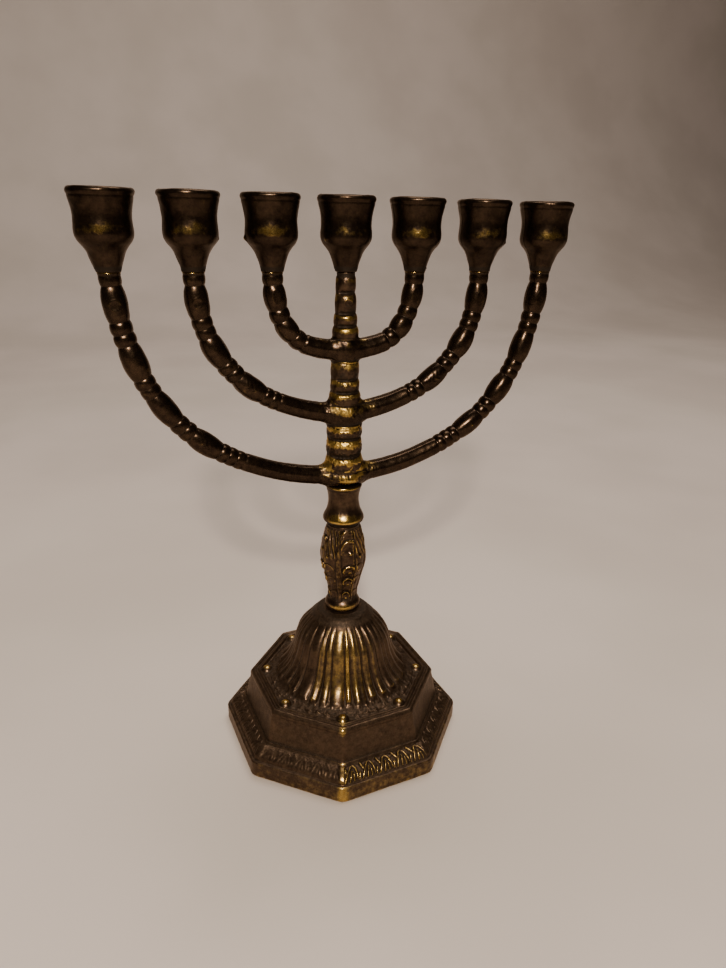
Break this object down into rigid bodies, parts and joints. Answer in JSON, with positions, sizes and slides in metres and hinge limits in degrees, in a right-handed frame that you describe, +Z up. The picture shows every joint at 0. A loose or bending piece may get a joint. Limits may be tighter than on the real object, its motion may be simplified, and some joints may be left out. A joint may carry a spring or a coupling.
{
  "type": "menorah",
  "caption": "Brass table menorah: U-shaped beaded branches with candle cups on a stem, over a leafy baluster, a fluted bell dome and a stepped octagonal base.",
  "frame": {"origin": "centre of the base's octagonal resting face, on the stem's axis", "axes": "+Z up along the stem; X along the row of candle cups, so the branches lie in the XZ plane; -Y faces the viewer"},
  "size_m": [0.2096, 0.1154, 0.256],
  "materials": {
    "aged_brass": "aged and patinated, rubbed bright on high spots",
    "plated_steel": "dull zinc plate"
  },
  "bodies": {
    "base": {"base_casting": "aged_brass"},
    "baluster_body": {"baluster": "aged_brass"},
    "collar_body": {"collar": "aged_brass"},
    "candelabrum": {"outer_branch": "aged_brass", "middle_branch": "aged_brass", "inner_branch": "aged_brass", "stem_lower": "aged_brass", "stem_middle": "aged_brass", "stem_upper": "aged_brass", "tie_rod": "plated_steel", "candle_cup_1": "aged_brass", "candle_cup_2": "aged_brass", "candle_cup_3": "aged_brass", "candle_cup_4": "aged_brass", "candle_cup_5": "aged_brass", "candle_cup_6": "aged_brass", "candle_cup_7": "aged_brass"},
    "washer_body": {"washer": "plated_steel"},
    "nut_body": {"hex_nut": "plated_steel"}
  },
  "joints": [
    {"name": "baluster_turn", "type": "hinge", "parent": "base", "child": "baluster_body", "pos_m": [0, 0, 0.0675], "axis": [0, 0, 1], "continuous": true},
    {"name": "collar_turn", "type": "hinge", "parent": "baluster_body", "child": "collar_body", "pos_m": [0, 0, 0.1128], "axis": [0, 0, 1], "continuous": true},
    {"name": "arms_turn", "type": "hinge", "parent": "collar_body", "child": "candelabrum", "pos_m": [0, 0, 0.1328], "axis": [0, 0, 1], "continuous": true},
    {"name": "washer_drop", "type": "slide", "parent": "candelabrum", "child": "washer_body", "axis": [0, 0, -1], "range_m": [0, 0.0134]},
    {"name": "nut_turn", "type": "hinge", "parent": "washer_body", "child": "nut_body", "pos_m": [0, 0, 0.0558], "axis": [0, 0, -1], "range_deg": [0, 4824]}
  ],
  "couplings": [
    {"joint": "nut_turn", "follows": "washer_drop", "rad_per_m": 6283.2}
  ]
}
